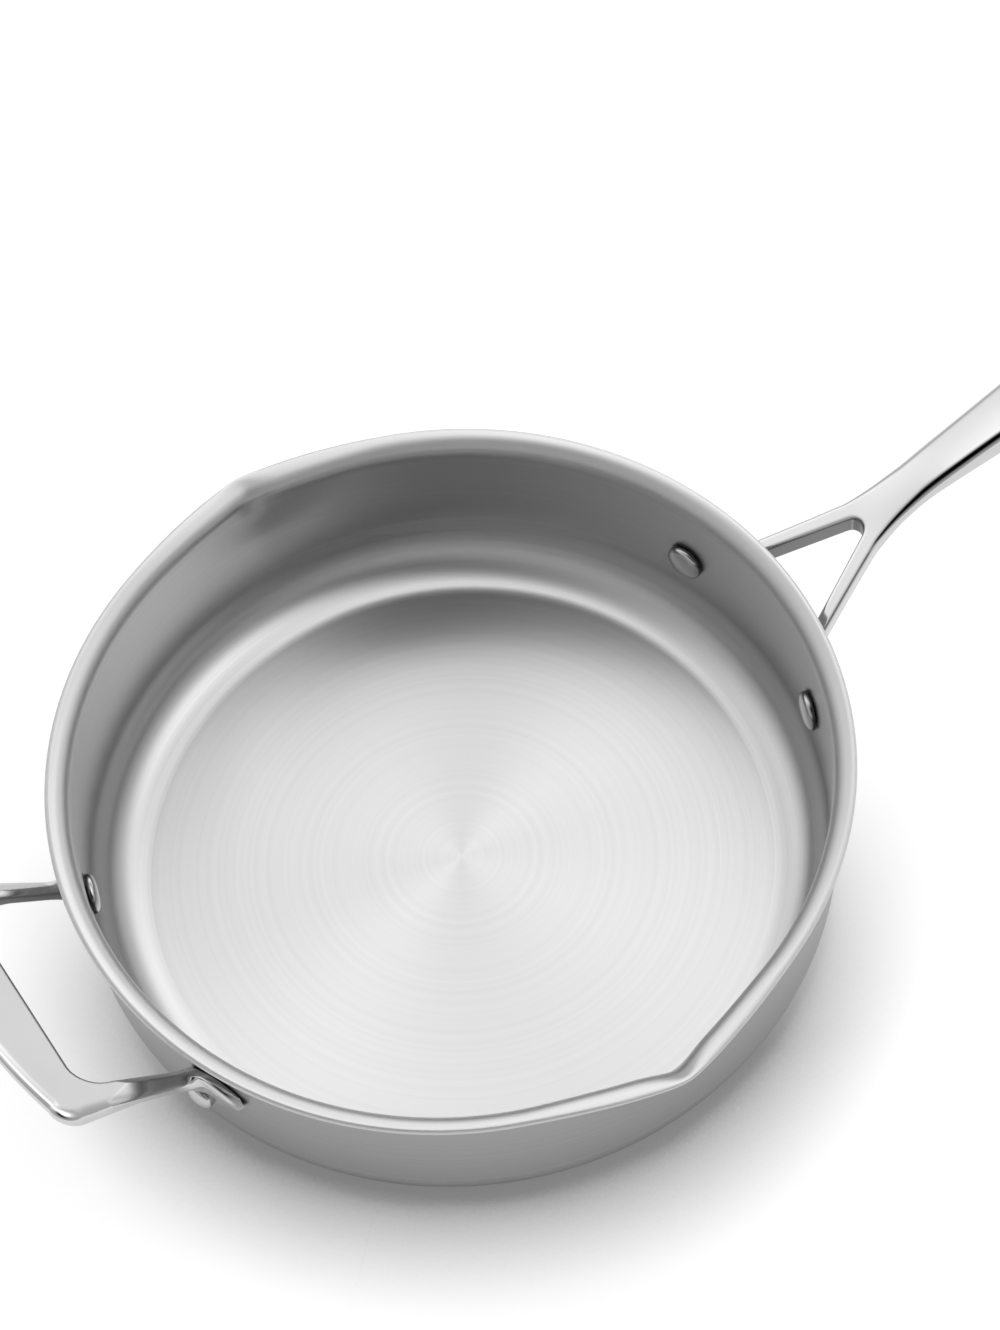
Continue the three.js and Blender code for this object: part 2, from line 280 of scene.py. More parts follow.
# Floor: in metres, wide enough to fill low views too, and just under the pan's base
FLOOR_HALF = 60.0
FLOOR_LEVEL = -0.0001
FLOOR_COLOUR = 0.5
FLOOR_GLOW = 0.6
FLOOR_ROUGHNESS = 0.9
SHADE_SAMPLES = 16
SHADE_DISTANCE = 0.06
SHADE_START = 0.5
SHADE_END = 0.88
SHADE_BEND = 0.7
SHADE_DEEPEST = 0.3
SHADE_FRONT = (-0.469, -0.883, 0)
SHADE_NEAR = (-0.02, 0.08)


# Mesh helpers

def add_piece(name, shape, node, material):
    """A smooth piece from points in millimetres, riding on the pan and standing for a CAD node."""
    points, faces, normals = shape
    mesh = bpy.data.meshes.new(name)
    mesh.from_pydata((np.asarray(points) * MM).tolist(), [], faces)
    mesh.polygons.foreach_set("use_smooth", [True] * len(mesh.polygons))
    mesh.materials.append(material)
    mesh.update()
    if normals is not None:
        mesh.normals_split_custom_set_from_vertices(normals)
    piece = bpy.data.objects.new(name, mesh)
    bpy.context.scene.collection.objects.link(piece)
    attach(piece, "root")
    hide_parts(node)
    return piece


def arc(centre, radius, start, end, steps):
    """Points along an arc, both ends included."""
    angles = np.linspace(start, end, steps + 1)
    return np.column_stack([centre[0] + radius * np.cos(angles), centre[1] + radius * np.sin(angles)])


def full_turn(steps, crowding=0.0):
    """Angles once round, closer together at a quarter and three quarters of the turn when crowded."""
    even = np.linspace(0, 2 * math.pi, steps, endpoint=False)
    return even + crowding / 2 * np.sin(2 * even)


def lathe(section, turns):
    """Points and quads of a closed section (radius, height) turned about Z; its ends lie on the axis."""
    inner = section[1:-1]
    count = len(inner)
    steps = len(turns)
    rings = np.stack(
        [
            np.outer(np.cos(turns), inner[:, 0]),
            np.outer(np.sin(turns), inner[:, 0]),
            np.tile(inner[:, 1], (steps, 1)),
        ],
        axis=-1,
    ).reshape(-1, 3)
    points = np.vstack([rings, [0, 0, section[0, 1]], [0, 0, section[-1, 1]]])
    start, end = len(rings), len(rings) + 1
    faces = []
    for i in range(steps):
        a, b = i * count, (i + 1) % steps * count
        faces.append((start, b, a))
        faces.append((end, a + count - 1, b + count - 1))
        faces.extend((a + j, b + j, b + j + 1, a + j + 1) for j in range(count - 1))
    return points, faces


# Body

LIP_ALONG = np.array([math.sin(LIP_ANGLE), math.cos(LIP_ANGLE)])
LIP_UP = np.array([-math.cos(LIP_ANGLE), math.sin(LIP_ANGLE)])


def section_at(depth):
    """The body's section at a depth below the cooking surface, from the axis to the end of the lip's bend."""
    flat = CAVITY_RADIUS - CORNER_RADIUS
    floor = np.column_stack([np.linspace(0, flat, FLOOR_POINTS), np.full(FLOOR_POINTS, SHEET - depth)])
    corner = arc((flat, CORNER_TOP), CORNER_RADIUS + depth, -math.pi / 2, 0, CORNER_STEPS)
    heights = np.linspace(CORNER_TOP, LIP_START, WALL_POINTS)
    wall = np.column_stack([np.full(WALL_POINTS, CAVITY_RADIUS + depth), heights])
    bend = (CAVITY_RADIUS + LIP_BEND, LIP_START)
    lip = arc(bend, LIP_BEND - depth, math.pi, math.pi - LIP_ANGLE, LIP_STEPS)
    return np.vstack([floor, corner[1:], wall[1:], lip[1:]])


def lip_edge(start, end):
    """The end of the lip between two depths, part of one round edge over the whole sheet."""
    depth = np.linspace(start, end, EDGE_POINTS)[:, None]
    bend_end = np.array([CAVITY_RADIUS + LIP_BEND, LIP_START]) + (LIP_BEND - depth) * LIP_UP
    past = LIP_STRAIGHT - EDGE_ROUND + np.sqrt(EDGE_ROUND ** 2 - (EDGE_ROUND - depth) ** 2)
    return bend_end + past * LIP_ALONG


def press_spouts(points):
    """Push the wall out and draw the lip down at both spouts, with flanks straight from their crease on."""
    x, y, z = points.T
    radius = np.maximum(np.hypot(x, y), TINY)
    climb = np.clip((z - SPOUT_FOOT) / (PAN_HEIGHT - SPOUT_FOOT), 0, 1)
    cone = np.clip((z - CONE_FOOT) / (PAN_HEIGHT - CONE_FOOT), 0, 1)
    push = SPOUT_THROW * ((1 - CONE_SHARE) * climb ** SPOUT_SWELL + CONE_SHARE * cone)
    crease = np.interp(radius, [WALL_RADIUS, LIP_REACH], [SPOUT_ROUND_INSIDE, SPOUT_ROUND_EDGE])
    reach = np.sqrt(2 * push * WALL_RADIUS) + crease
    along = np.arctan2(np.abs(x), np.abs(y)) * WALL_RADIUS
    apart = np.hypot(along, crease) - crease
    across = np.clip(1 - apart / reach, 0, 1) ** 2
    on_lip = np.interp(radius, [WALL_RADIUS, LIP_REACH], [1, CHANNEL_ON_EDGE])
    near_lip = np.clip(1 - (PAN_HEIGHT - z) / CHANNEL_DEPTH, 0, 1)
    off_crease = np.hypot(along, CHANNEL_ROUND) - CHANNEL_ROUND
    middle = np.clip(1 - off_crease / CHANNEL_HALF, 0, 1) ** 2
    channel = CHANNEL_THROW * on_lip * near_lip * middle
    stretch = 1 + (push * across + channel) / radius
    return np.column_stack([x * stretch, y * stretch, z - SPOUT_DROP * across * climb ** SPOUT_DIP])


def layer(depths):
    """One layer of the sheet between two depths below the cooking surface."""
    section = np.vstack([section_at(depths[0]), lip_edge(*depths), section_at(depths[1])[::-1]])
    points, faces = lathe(section, full_turn(ROUND_STEPS, SPOUT_CROWDING))
    return press_spouts(points), faces, None


# Rivets

def rivet(bearing):
    """A rivet through the wall at a bearing: domed head inside, shank, and upset tail outside."""
    seat = math.sqrt(CAVITY_RADIUS ** 2 - HEAD_RADIUS ** 2) - SEAT_GAP
    turn = np.linspace(0, math.pi / 2, DOME_POINTS)
    dome = HEAD_HEIGHT - HEAD_EDGE
    bent = 2 / HEAD_FULLNESS
    rise = np.abs(np.cos(turn)) ** bent
    head = np.column_stack([HEAD_RADIUS * np.sin(turn) ** bent, seat - HEAD_EDGE - dome * rise])
    tail = np.column_stack([TAIL_RADIUS * np.cos(turn), TAIL_SEAT + TAIL_HEIGHT * np.sin(turn)])
    foot = PAD_RADIUS + SEAT_GAP
    shank = [(HEAD_RADIUS, seat), (SHANK_RADIUS, seat), (SHANK_RADIUS, foot), (TAIL_RADIUS, foot)]
    points, faces = lathe(np.vstack([head, shank, tail]), full_turn(RIVET_STEPS))
    across, up, out = points.T
    cos, sin = math.cos(bearing), math.sin(bearing)
    placed = np.column_stack([out * cos - across * sin, out * sin + across * cos, RIVET_HEIGHT + up])
    return placed, faces, None


# Handles are solids given by a signed distance, and a mesh is laid over where it is zero

def outline_distance(points, outline):
    """Distance of plane points to a closed outline, negative inside."""
    starts = outline
    ends = np.roll(outline, -1, axis=0)
    nearest = np.full(len(points), np.inf)
    inside = np.zeros(len(points), bool)
    for a, b in zip(starts, ends):
        edge = b - a
        to = points - a
        share = np.clip(to @ edge / max(edge @ edge, TINY), 0, 1)
        gap = to - share[:, None] * edge
        nearest = np.minimum(nearest, np.einsum("ij,ij->i", gap, gap))
        crosses = (a[1] <= points[:, 1]) != (b[1] <= points[:, 1])
        if crosses.any():
            level = a[0] + (points[:, 1] - a[1]) * edge[0] / edge[1]
            inside ^= crosses & (points[:, 0] < level)
    return np.where(inside, -1, 1) * np.sqrt(nearest)


def grid_distance(outline, axes):
    """The outline's distance on a grid, the same at every height."""
    a, b = np.meshgrid(axes[0], axes[1], indexing="ij")
    apart = outline_distance(np.column_stack([a.ravel(), b.ravel()]), outline)
    return apart.reshape(*a.shape, 1)


def rounded_both(a, b, radius):
    """Where both solids are, with the edge between them rounded."""
    inner = np.minimum(np.maximum(a, b) + radius, 0)
    corner = np.hypot(np.maximum(a + radius, 0), np.maximum(b + radius, 0))
    return inner + corner - radius


def joined(a, b, fillet):
    """Either solid, with a fillet in the corner between them."""
    close = np.maximum(fillet - np.abs(a - b), 0) / fillet
    return np.minimum(a, b) - close ** 2 * fillet / 4


def neighbours(grid, axis):
    """A grid without its last layer along an axis, and without its first."""
    low = [slice(None)] * 3
    high = [slice(None)] * 3
    low[axis], high[axis] = slice(None, -1), slice(1, None)
    return grid[tuple(low)], grid[tuple(high)]


def cells_beside(edges, across, back):
    """The cells beside grid edges, so many steps back along the two axes across them."""
    cells = edges.copy()
    cells[:, across] -= back
    return tuple(cells.T)


def net_points(field):
    """Points, in grid steps, of the surface where the field is zero, and the number of each cell's point."""
    inside = field < 0
    total = np.zeros(tuple(n - 1 for n in field.shape) + (3,), np.float32)
    hits = np.zeros(total.shape[:3], np.float32)
    for axis in range(3):
        a, b = neighbours(field, axis)
        was, now = neighbours(inside, axis)
        edges = np.argwhere(was != now)
        at = tuple(edges.T)
        place = edges.astype(np.float32)
        place[:, axis] += a[at] / (a[at] - b[at])
        across = [k for k in range(3) if k != axis]
        for back in np.ndindex(2, 2):
            cells = cells_beside(edges, across, back)
            np.add.at(total, cells, place)
            np.add.at(hits, cells, 1)
    used = np.argwhere(hits > 0)
    at = tuple(used.T)
    number = np.full(hits.shape, -1)
    number[at] = np.arange(len(used))
    return (total[at] / hits[at][:, None]).astype(float), number


def net_quads(inside, number):
    """Quads between the points of the four cells round each grid edge that crosses the surface."""
    quads = []
    for axis in range(3):
        was, now = neighbours(inside, axis)
        across = [(axis + 1) % 3, (axis + 2) % 3]
        for leaving in (True, False):
            edges = np.argwhere((was & ~now) if leaving else (~was & now))
            round_edge = ((0, 0), (1, 0), (1, 1), (0, 1))
            ring = np.column_stack([number[cells_beside(edges, across, back)] for back in round_edge])
            quads.append(ring if leaving else ring[:, ::-1])
    return np.vstack(quads).tolist()


def read_grid(values, places):
    """The values of a grid at places between its points."""
    low = np.clip(np.floor(places).astype(int), 0, np.array(values.shape) - 2)
    share = places - low
    result = np.zeros(len(places))
    for corner in np.ndindex(2, 2, 2):
        weight = np.prod(np.where(corner, share, 1 - share), axis=1)
        result += weight * values[tuple((low + corner).T)]
    return result


def settled(field, places):
    """The places moved onto the surface, and the field's slope there."""
    slopes = np.gradient(field)
    for _ in range(SETTLE_ROUNDS):
        slope = np.column_stack([read_grid(values, places) for values in slopes])
        height = read_grid(field, places)[:, None]
        step = height * slope / np.maximum(np.sum(slope ** 2, axis=1, keepdims=True), TINY)
        places = places - np.clip(step, -SETTLE_LIMIT, SETTLE_LIMIT)
    return places, slope


def pads(x, y, z, inner, outer, high, slope, inner_taper, outer_taper, corner):
    """Distance to the two foot pads on the +X side, bent round the wall: a strip over a thin tongue."""
    off = np.abs(y)
    top = high - slope * np.maximum(off - inner, 0)
    below = np.maximum(top - PAD_STRIP - z, 0)
    plate = np.hypot(x, y) - PAD_RADIUS - PAD_THICKNESS + PAD_THIN * np.minimum(below / PAD_STEP, 1)
    across = np.maximum(inner + inner_taper * below - off, off - outer + outer_taper * below)
    upright = np.maximum(z - top, PAD_BOTTOM - z)
    return rounded_both(plate, rounded_both(across, upright, corner), PAD_EDGE)


def handle(bar, top, reach, pad_ends):
    """A handle's mesh: a bar, given by a distance in X, Y and the height over a top line, with its pads."""
    lowest = PAD_BOTTOM - np.interp(PAD_RADIUS + PAD_THICKNESS, *top.T)
    side = pad_ends["outer"] + GRID_MARGIN
    low = (WALL_RADIUS - 4 * PAD_THICKNESS, -side, lowest - GRID_MARGIN)
    high = (WALL_RADIUS + reach + GRID_END_MARGIN, side, GRID_MARGIN)
    axes = [np.arange(a, b + GRID_STEP, GRID_STEP) for a, b in zip(low, high)]
    x, y, over = np.ix_(*axes)
    line = np.interp(axes[0], *top.T)
    climb = np.gradient(line, GRID_STEP)
    both = joined(bar(axes, climb), pads(x, y, over + line[:, None, None], **pad_ends), PAD_FILLET)
    field = np.maximum(both, PAD_RADIUS - np.hypot(x, y)).astype(np.float32)
    places, number = net_points(field)
    faces = net_quads(field < 0, number)
    places, slope = settled(field, places)
    points = np.array(low) + places * GRID_STEP
    slope[:, 0] -= np.interp(points[:, 0], axes[0], climb) * slope[:, 2]
    points[:, 2] += np.interp(points[:, 0], axes[0], line)
    normals = slope / np.maximum(np.linalg.norm(slope, axis=1, keepdims=True), TINY)
    return points, faces, normals


def spline(points, steps):
    """A smooth curve through points, even in the number of steps between them."""
    p = np.asarray(points, float)
    p = np.vstack([2 * p[0] - p[1], p, 2 * p[-1] - p[-2]])
    t = np.linspace(0, 1, steps, endpoint=False)[:, None]
    parts = []
    for a, b, c, d in zip(p, p[1:], p[2:], p[3:]):
        squared = 2 * a - 5 * b + 4 * c - d
        cubed = 3 * b - a - 3 * c + d
        parts.append(0.5 * (2 * b + (c - a) * t + squared * t ** 2 + cubed * t ** 3))
    return np.vstack(parts + [p[-2:-1]])


def bezier(a, b, c, steps):
    """A curve from a to c that leaves and arrives in the direction of b."""
    t = np.linspace(0, 1, steps + 1)[:, None]
    return (1 - t) ** 2 * np.array(a) + 2 * t * (1 - t) * np.array(b) + t ** 2 * np.array(c)


def mirrored(points):
    """An outline's other half, across the X axis and run backwards."""
    return points[::-1] * (1, -1)


def from_wall(points):
    """Reaches from the wall as places from the pan's axis."""
    return np.asarray(points) + (WALL_RADIUS, 0)


# Long handle

def long_outline():
    """The long handle from above, without the gap of its fork."""
    root = -PAD_THICKNESS
    shoulder = HANDLE_REACH - END_RADIUS
    halves = [(root, LEG_FOOT_HALF), LEG_END, NECK, WAIST, GRIP_START, GRIP, (shoulder, END_RADIUS)]
    flank = spline(halves, FLANK_STEPS)
    end = arc((shoulder, 0), END_RADIUS, math.pi / 2, -math.pi / 2, END_STEPS)
    return from_wall(np.vstack([flank, end[1:-1], mirrored(flank)]))


def fork_outline():
    """The gap between the legs of the fork from above, running on into the wall."""
    root = -3 * PAD_THICKNESS
    touch = math.pi / 2 - LEG_SPLAY
    crotch = arc((CROTCH_REACH - CROTCH_RADIUS, 0), CROTCH_RADIUS, -touch, touch, BEND_STEPS)
    foot = crotch[-1] + (crotch[-1][0] - root) * np.array([-1, math.tan(LEG_SPLAY)])
    return from_wall(np.vstack([[foot * (1, -1)], crotch, [foot]]))


def slot_distance(x, y):
    """Distance to the hanging slot from above, negative inside it."""
    centre = WALL_RADIUS + HANDLE_REACH - SLOT_FROM_END
    straight = SLOT_LENGTH / 2 - SLOT_RADIUS
    return np.hypot(np.maximum(np.abs(x - centre) - straight, 0), y) - SLOT_RADIUS


def long_top():
    """The top line of the long handle: up the fork, over the elbow, and easing off along the grip."""
    root = np.array([-PAD_THICKNESS, LONG_PADS["high"]])
    elbow = root + (ELBOW_REACH - root[0]) * np.array([1, FORK_SLOPE])
    start = elbow + ELBOW_HALF * np.array([1, GRIP_SLOPE])
    half = (HANDLE_REACH - start[0]) / 2
    middle = start + half * np.array([1, GRIP_SLOPE])
    tip = middle + half * np.array([1, END_SLOPE])
    bend = bezier(elbow - ELBOW_HALF * np.array([1, FORK_SLOPE]), elbow, start, ELBOW_STEPS)
    grip = bezier(start, middle, tip, BEND_STEPS)
    return from_wall(np.vstack([root[None], bend, grip[1:]]))


def long_bar(axes, climb):
    """Distance to the long handle without its pads, its grip gently domed on top."""
    x, y, over = np.ix_(*axes)
    reach = x - WALL_RADIUS
    stretches = [
        (-PAD_THICKNESS, LEG_DEPTH),
        (CROTCH_REACH, LEG_DEPTH),
        (WAIST[0], WAIST_DEPTH),
        ((WAIST[0] + GRIP[0]) / 2, GRIP_DEPTH),
        (GRIP[0], GRIP_DEPTH),
        (HANDLE_REACH, END_DEPTH),
    ]
    depth = np.interp(reach, *spline(stretches, DEPTH_STEPS).T)
    begun = np.clip((reach - CROTCH_REACH) / (ELBOW_REACH - CROTCH_REACH), 0, 1)
    dome = GRIP_CROWN * begun * (y / GRIP[1]) ** 2
    upright = np.maximum(over + dome, -depth - over) / np.sqrt(1 + climb[:, None, None] ** 2)
    edge = np.interp(reach, [CROTCH_REACH - CROTCH_RADIUS, ELBOW_REACH], [LEG_EDGE, GRIP_EDGE])
    bar = rounded_both(grid_distance(long_outline(), axes), upright, edge)
    bar = rounded_both(bar, -grid_distance(fork_outline(), axes), FORK_EDGE)
    return rounded_both(bar, -slot_distance(x, y), SLOT_EDGE)


# Helper handle

def helper_outline():
    """The helper handle from above, without its finger gap: two legs and a bowed bar."""
    root = -3 * PAD_THICKNESS
    turn = HELPER_CORNER_RADIUS
    centre = (HELPER_CORNER[0] - turn, HELPER_CORNER[1] - turn)
    corner = arc(centre, turn, math.pi / 2, 0, LOOP_CORNER_STEPS)
    outside = np.vstack([[(root, HELPER_LEG_OUTER)], corner])
    bulge = (2 * HELPER_BAR_OUTER - HELPER_CORNER[0], 0)
    bow = bezier(corner[-1], bulge, corner[-1] * (1, -1), BOW_STEPS)
    return from_wall(np.vstack([outside, bow[1:-1], mirrored(outside)]))


def finger_gap_outline():
    """The finger gap from above, running on into the wall."""
    turn = HELPER_GAP_RADIUS
    gap = arc((HELPER_BAR_INNER - turn, HELPER_LEG_INNER - turn), turn, 0, math.pi / 2, BEND_STEPS)
    side = np.vstack([gap, [(-4 * PAD_THICKNESS, HELPER_LEG_INNER)]])
    return from_wall(np.vstack([mirrored(side), side]))


def helper_top():
    """The top line of the helper handle, climbing straight from inside the wall to past the bar."""
    neck = np.array([HELPER_NECK[0], HELPER_ROOT + HELPER_NECK[1]])
    ends = np.array([-5 * PAD_THICKNESS, HELPER_BAR_OUTER + 2 * HELPER_DEPTH])
    return from_wall(neck + np.outer(ends - neck[0], [1, HELPER_SLOPE]))


def helper_bar(axes, climb):
    """Distance to the helper handle without its pads: a bevelled bar, its legs falling to a ridge."""
    x, y, over = np.ix_(*axes)
    tilt = 1 / np.sqrt(1 + climb[:, None, None] ** 2)
    fall = RIDGE_FALL * (RIDGE_TIP - (x - WALL_RADIUS))
    off_middle = np.abs(np.abs(y) - (HELPER_LEG_OUTER + HELPER_LEG_INNER) / 2)
    on_leg = np.minimum(off_middle, HELPER_LEG_OUTER - HELPER_LEG_INNER)
    top = (over + np.maximum(RIDGE_SPREAD * on_leg + fall, 0)) * tilt
    foot = (-HELPER_DEPTH - np.maximum(fall, 0) - over) * tilt
    outside = grid_distance(helper_outline(), axes)
    bevelled = np.interp(x - WALL_RADIUS, BEVEL_FADE, [0, HELPER_BEVEL])
    bevel = (outside + top) / math.sqrt(2) + bevelled
    bar = rounded_both(rounded_both(top, bevel, HELPER_BEVEL_EDGE), outside, HELPER_EDGE)
    bar = rounded_both(bar, foot, HELPER_EDGE)
    return rounded_both(bar, -grid_distance(finger_gap_outline(), axes), HELPER_EDGE)


def turned_half(shape):
    """A shape made on the +X side, turned half round to the -X side."""
    points, faces, normals = shape
    return points * (-1, -1, 1), faces, normals * (-1, -1, 1)


# Materials

def new_material(name):
    """A new metal, with its nodes, its links and its shader."""
    material = bpy.data.materials.new(name)
    material.use_nodes = True
    nodes = material.node_tree.nodes
    shader = nodes["Principled BSDF"]
    shader.inputs["Metallic"].default_value = 1
    return material, nodes, material.node_tree.links, shader


def node(nodes, kind, **values):
    """A node with its properties set, and its inputs set where a name is an input's."""
    made = nodes.new(kind)
    for key, value in values.items():
        if key in made.inputs:
            made.inputs[key].default_value = value
        else:
            setattr(made, key, value)
    return made


def in_metres(sizes):
    """Sizes in millimetres turned into metres."""
    return [size * MM for size in sizes]


def combined(nodes, links, operation, first, second):
    """Two values put together by a sum, a product or the like."""
    made = node(nodes, "ShaderNodeMath", operation=operation)
    links.new(first, made.inputs[0])
    links.new(second, made.inputs[1])
    return made.outputs[0]


def ranged(nodes, links, source, low, high, start=0.0, end=1.0):
    """A value moved from one range to another."""
    made = node(nodes, "ShaderNodeMapRange")
    made.inputs["From Min"].default_value = start
    made.inputs["From Max"].default_value = end
    made.inputs["To Min"].default_value = low
    made.inputs["To Max"].default_value = high
    links.new(source, made.inputs["Value"])
    return made.outputs["Result"]


def tinted(nodes, links, factor, dark, light):
    """A colour between a dark and a light one by a factor."""
    made = node(nodes, "ShaderNodeMix", data_type="RGBA")
    made.inputs["A"].default_value = (*dark, 1)
    made.inputs["B"].default_value = (*light, 1)
    links.new(factor, made.inputs["Factor"])
    return made.outputs["Result"]


def scaled(nodes, links, colour, factor):
    """A colour made lighter or darker by a factor."""
    made = node(nodes, "ShaderNodeVectorMath", operation="SCALE")
    links.new(colour, made.inputs[0])
    links.new(factor, made.inputs["Scale"])
    return made.outputs[0]


def along_axes(nodes, links, kind):
    """The parts of an object's place or of a surface's normal along X, Y and Z."""
    source = node(nodes, "ShaderNodeTexCoord")
    apart = node(nodes, "ShaderNodeSeparateXYZ")
    links.new(source.outputs[kind], apart.inputs[0])
    return apart.outputs


def from_axis(nodes, links):
    """The distance of a place from the pan's axis."""
    place = along_axes(nodes, links, "Object")
    flat = node(nodes, "ShaderNodeCombineXYZ")
    links.new(place["X"], flat.inputs["X"])
    links.new(place["Y"], flat.inputs["Y"])
    length = node(nodes, "ShaderNodeVectorMath", operation="LENGTH")
    links.new(flat.outputs[0], length.inputs[0])
    return length.outputs["Value"]


def ring_noise(nodes, links, scale, detail):
    """Noise that changes with the distance from the pan's axis and with height, so it runs in rings."""
    height = along_axes(nodes, links, "Object")["Z"]
    total = combined(nodes, links, "ADD", from_axis(nodes, links), height)
    noise = node(nodes, "ShaderNodeTexNoise", noise_dimensions="1D", Scale=scale, Detail=detail)
    links.new(total, noise.inputs["W"])
    return noise.outputs["Fac"]


def even_noise(nodes, links, scale, detail):
    """Noise that is alike in every direction."""
    place = node(nodes, "ShaderNodeTexCoord")
    noise = node(nodes, "ShaderNodeTexNoise", Scale=scale, Detail=detail)
    links.new(place.outputs["Object"], noise.inputs["Vector"])
    return noise.outputs["Fac"]


def add_bump(nodes, links, shader, height, strength):
    """Fine unevenness that follows a noise."""
    bump = node(nodes, "ShaderNodeBump", Strength=strength, Distance=BUMP_DISTANCE)
    links.new(height, bump.inputs["Height"])
    links.new(bump.outputs[0], shader.inputs["Normal"])


def brushed_steel(name, dark, light, roughness, spread, anisotropy):
    """Metal brushed in fine rings about the pan's axis, with a duller lip that a painted highlight makes
    lighter.
    """
    material, nodes, links, shader = new_material(name)
    fine = ring_noise(nodes, links, *FINE_RINGS)
    broad = ring_noise(nodes, links, *BROAD_RINGS)
    height = along_axes(nodes, links, "Object")["Z"]
    lip = ranged(nodes, links, height, 0, 1, LIP_START * MM, LIP_FULL * MM)
    colour = tinted(nodes, links, broad, dark, light)
    # Painted highlight: the lip's colour is made lighter
    colour = scaled(nodes, links, colour, ranged(nodes, links, lip, 1, LIP_PAINTED_HIGHLIGHT))
    links.new(colour, shader.inputs["Base Color"])
    body = ranged(nodes, links, fine, roughness - spread, roughness + spread)
    duller = ranged(nodes, links, lip, 0, LIP_DULLNESS)
    links.new(combined(nodes, links, "ADD", body, duller), shader.inputs["Roughness"])
    shader.inputs["Anisotropic"].default_value = anisotropy
    around = node(nodes, "ShaderNodeTangent", direction_type="RADIAL", axis="Z")
    links.new(around.outputs[0], shader.inputs["Tangent"])
    add_bump(nodes, links, shader, fine, RING_BUMP)
    return material


# Mask for painted shade and dullness low on the foot pads
def pad_part(nodes, links):
    """One on the low foot pads of a handle, and nought on its bar."""
    close = ranged(nodes, links, from_axis(nodes, links), 1, 0, *in_metres(PAD_PART_RADIUS))
    height = along_axes(nodes, links, "Object")["Z"]
    low = ranged(nodes, links, height, 1, 0, *in_metres(PAD_PART_HEIGHT))
    return combined(nodes, links, "MULTIPLY", close, low)


# Mask for painted shade and dullness on the sides that face inward
def inner_sides(nodes, links):
    """One on the sides of a handle that face the pan's axis or its own middle, and nought elsewhere."""
    total = None
    for axis in ("X", "Y"):
        side = node(nodes, "ShaderNodeMath", operation="SIGN")
        links.new(along_axes(nodes, links, "Object")[axis], side.inputs[0])
        normal = along_axes(nodes, links, "Normal")[axis]
        facing = combined(nodes, links, "MULTIPLY", side.outputs[0], normal)
        inward = ranged(nodes, links, facing, 1, 0, *CAST_FACING)
        total = combined(nodes, links, "MAXIMUM", total, inward) if total else inward
    return total


# Mask for painted shade where a rivet's head meets the wall
def rim_part(nodes, links):
    """One on the rim of a rivet's head, down by the wall, and nought on its dome and its tail."""
    away = node(nodes, "ShaderNodeMath", operation="SUBTRACT")
    links.new(from_axis(nodes, links), away.inputs[0])
    away.inputs[1].default_value = RIM_MIDDLE * MM
    apart = node(nodes, "ShaderNodeMath", operation="ABSOLUTE")
    links.new(away.outputs[0], apart.inputs[0])
    return ranged(nodes, links, apart.outputs[0], 1, 0, *in_metres(RIM_REACH))


def polished_steel(name, dark, light, roughness, spread, parts):
    """Steel polished bright, with faint cloudy differences; parts of it may be darkened by painted shade and
    made duller.
    """
    material, nodes, links, shader = new_material(name)
    cloud = even_noise(nodes, links, *CLOUDS)
    colour = tinted(nodes, links, cloud, dark, light)
    dullness = ranged(nodes, links, cloud, roughness - spread, roughness + spread, *CLOUD_RANGE)
    for part_of, shade, duller in parts:
        part = part_of(nodes, links)
        # Painted shade: each part darkens the colour by its factor
        colour = scaled(nodes, links, colour, ranged(nodes, links, part, 1, shade))
        dullness = combined(nodes, links, "ADD", dullness, ranged(nodes, links, part, 0, duller))
    links.new(colour, shader.inputs["Base Color"])
    links.new(dullness, shader.inputs["Roughness"])
    add_bump(nodes, links, shader, even_noise(nodes, links, *GRAIN), GRAIN_BUMP)
    return material


# Studio

def floor_shade(nodes, links):
    """How light the floor is: one in the open, less close to the pan, and least on the camera's side."""
    sky = node(nodes, "ShaderNodeAmbientOcclusion", samples=SHADE_SAMPLES, Distance=SHADE_DISTANCE)
    opened = ranged(nodes, links, sky.outputs["AO"], 0, 1, SHADE_START, SHADE_END)
    bent = node(nodes, "ShaderNodeMath", operation="POWER")
    links.new(opened, bent.inputs[0])
    bent.inputs[1].default_value = SHADE_BEND
    place = node(nodes, "ShaderNodeTexCoord")
    front = node(nodes, "ShaderNodeVectorMath", operation="DOT_PRODUCT")
    links.new(place.outputs["Object"], front.inputs[0])
    front.inputs[1].default_value = SHADE_FRONT
    deepest = ranged(nodes, links, front.outputs["Value"], 1, SHADE_DEEPEST, *SHADE_NEAR)
    shaded = node(nodes, "ShaderNodeMapRange")
    links.new(bent.outputs[0], shaded.inputs["Value"])
    links.new(deepest, shaded.inputs["To Min"])
    return shaded.outputs["Result"]


def floor_material():
    """A pale grey that glows to white for the camera and in reflections, but doesn't light the pan."""
    material = bpy.data.materials.new("floor_white")
    material.use_nodes = True
    nodes, links = material.node_tree.nodes, material.node_tree.links
    shader = nodes["Principled BSDF"]
    shader.inputs["Roughness"].default_value = FLOOR_ROUGHNESS
    shader.inputs["Specular IOR Level"].default_value = 0
    shade = floor_shade(nodes, links)
    links.new(ranged(nodes, links, shade, 0, FLOOR_COLOUR), shader.inputs["Base Color"])
    links.new(shade, shader.inputs["Emission Color"])
    rays = node(nodes, "ShaderNodeLightPath").outputs
    seen = combined(nodes, links, "ADD", rays["Is Camera Ray"], rays["Is Glossy Ray"])
    seen = combined(nodes, links, "ADD", seen, rays["Is Transmission Ray"])
    links.new(ranged(nodes, links, seen, 0, FLOOR_GLOW), shader.inputs["Emission Strength"])
    return material


